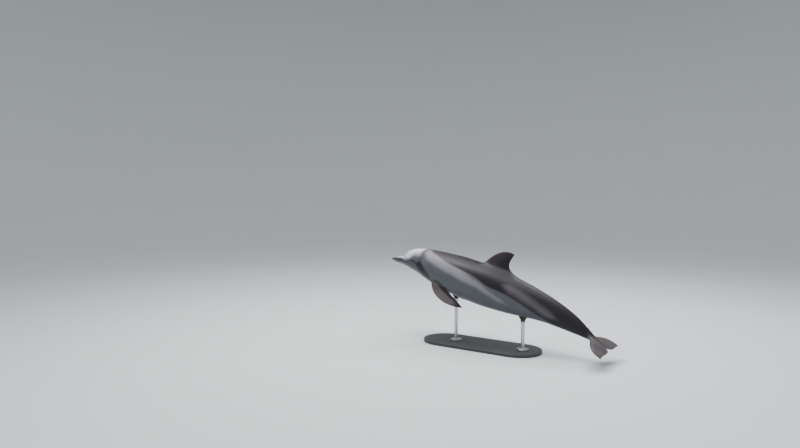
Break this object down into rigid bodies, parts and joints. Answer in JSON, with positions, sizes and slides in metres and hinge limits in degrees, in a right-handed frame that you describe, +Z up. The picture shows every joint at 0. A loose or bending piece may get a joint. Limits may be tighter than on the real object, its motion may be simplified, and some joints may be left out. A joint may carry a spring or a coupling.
{
  "type": "bottlenose dolphin model",
  "caption": "Life-size still model of a bottlenose dolphin gliding with its tail swept down, on a flat display base with short upright rods.",
  "frame": {"origin": "on the floor plane, at the underside of the stand's base, under the middle of the model's bounding box", "axes": "+Z up; the beak points to -Y and the flukes to +Y; +X is the animal's left side"},
  "size_m": [0.5414, 2.3214, 0.9469],
  "materials": {
    "beak_upper": "painted cast skin, satin; dark cape over grey flanks and a pale belly",
    "melon": "painted cast skin, satin; dark cape over grey flanks and a pale belly",
    "head": "painted cast skin, satin; dark cape over grey flanks and a pale belly",
    "neck": "painted cast skin, satin; dark cape over grey flanks and a pale belly",
    "trunk_chest": "painted cast skin, satin; dark cape over grey flanks and a pale belly",
    "trunk_middle": "painted cast skin, satin; dark cape over grey flanks and a pale belly",
    "trunk_rear": "painted cast skin, satin; dark cape over grey flanks and a pale belly",
    "tail_stock_front": "painted cast skin, satin; dark cape over grey flanks and a pale belly",
    "tail_stock_rear": "painted cast skin, satin; dark cape over grey flanks and a pale belly",
    "jaw_lower": "painted cast skin, satin; pale throat",
    "dorsal_fin": "painted cast skin, satin; dark grey-brown",
    "flipper_left": "painted cast skin, satin; dark grey-brown",
    "flipper_right": "painted cast skin, satin; dark grey-brown",
    "fluke_left": "painted cast skin, satin; dark grey-brown",
    "fluke_right": "painted cast skin, satin; dark grey-brown",
    "eye_left": "polished, near black with a dark brown iris",
    "eye_right": "polished, near black with a dark brown iris",
    "stand_base": "satin charcoal",
    "stand_flange_front": "satin turned steel",
    "stand_rod_front": "satin drawn steel",
    "stand_pad_front": "smooth black rubber",
    "stand_flange_rear": "satin turned steel",
    "stand_rod_rear": "satin drawn steel",
    "stand_pad_rear": "smooth black rubber"
  },
  "bodies": {
    "root": {"jaw_lower": "jaw_lower", "beak_upper": "beak_upper", "melon": "melon", "head": "head", "neck": "neck", "trunk_chest": "trunk_chest", "trunk_middle": "trunk_middle", "trunk_rear": "trunk_rear", "tail_stock_front": "tail_stock_front", "tail_stock_rear": "tail_stock_rear", "dorsal_fin": "dorsal_fin", "flipper_left": "flipper_left", "flipper_right": "flipper_right", "fluke_left": "fluke_left", "fluke_right": "fluke_right", "eye_left": "eye_left", "eye_right": "eye_right", "stand_base": "stand_base", "stand_flange_front": "stand_flange_front", "stand_flange_rear": "stand_flange_rear", "stand_rod_front": "stand_rod_front", "stand_rod_rear": "stand_rod_rear", "stand_pad_front": "stand_pad_front", "stand_pad_rear": "stand_pad_rear"}
  },
  "joints": []
}
